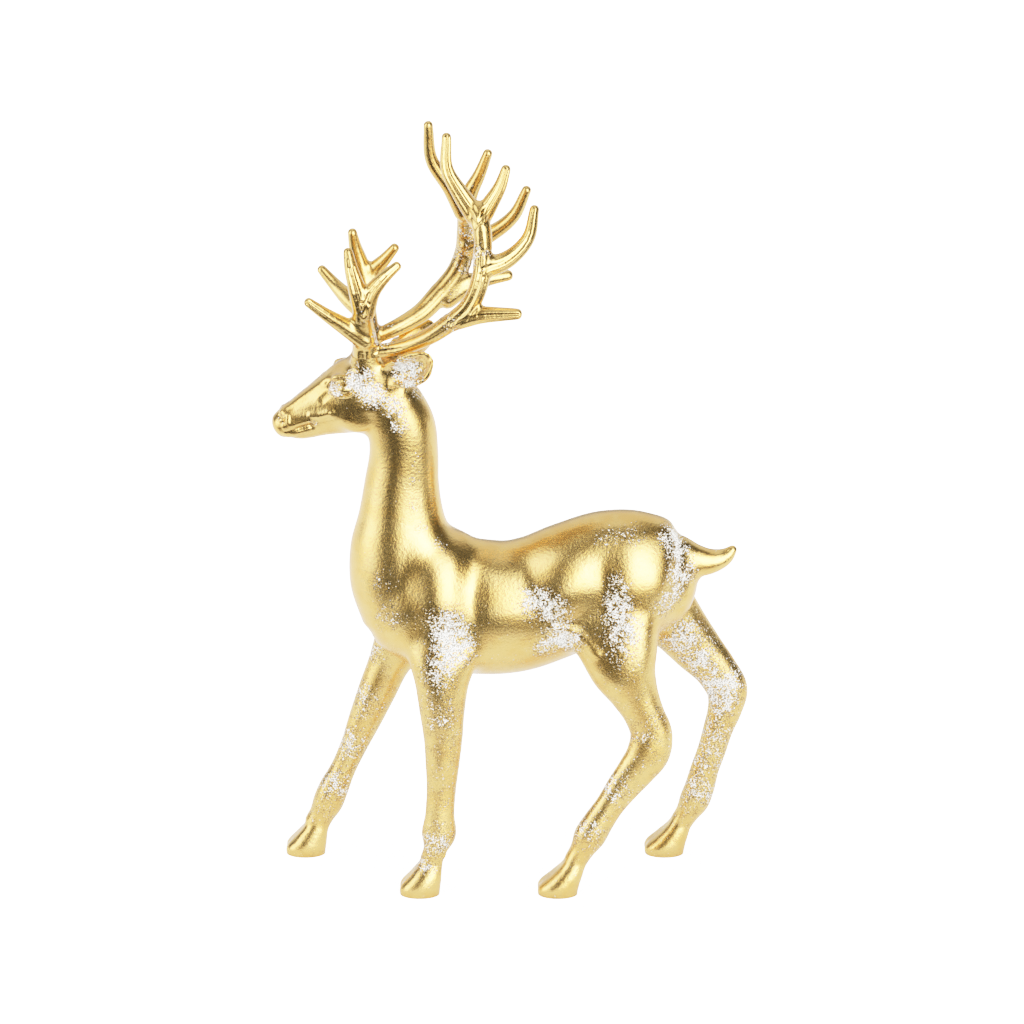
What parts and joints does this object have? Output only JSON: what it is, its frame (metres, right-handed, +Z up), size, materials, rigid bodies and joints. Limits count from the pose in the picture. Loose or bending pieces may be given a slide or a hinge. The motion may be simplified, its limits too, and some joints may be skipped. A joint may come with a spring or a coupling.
{
  "type": "resin deer figurine",
  "caption": "Standing stag figurine in gilded cast resin with branching antlers, walking pose, resting on its hooves.",
  "frame": {"origin": "centre of the bounding box on the plane of the four soles", "axes": "+Z up along the height; the stag faces -X; +Y runs towards its right side, away from the pictured side"},
  "size_m": [0.2518, 0.0704, 0.4195],
  "materials": {
    "gilded_resin_body": "satin gold leaf, rubbed through to white resin in places",
    "gilded_resin_antler": "satin gold leaf, rubbed through at the forks"
  },
  "bodies": {
    "root": {"deer_body": "gilded_resin_body", "left_antler": "gilded_resin_antler", "right_antler": "gilded_resin_antler"}
  },
  "joints": []
}
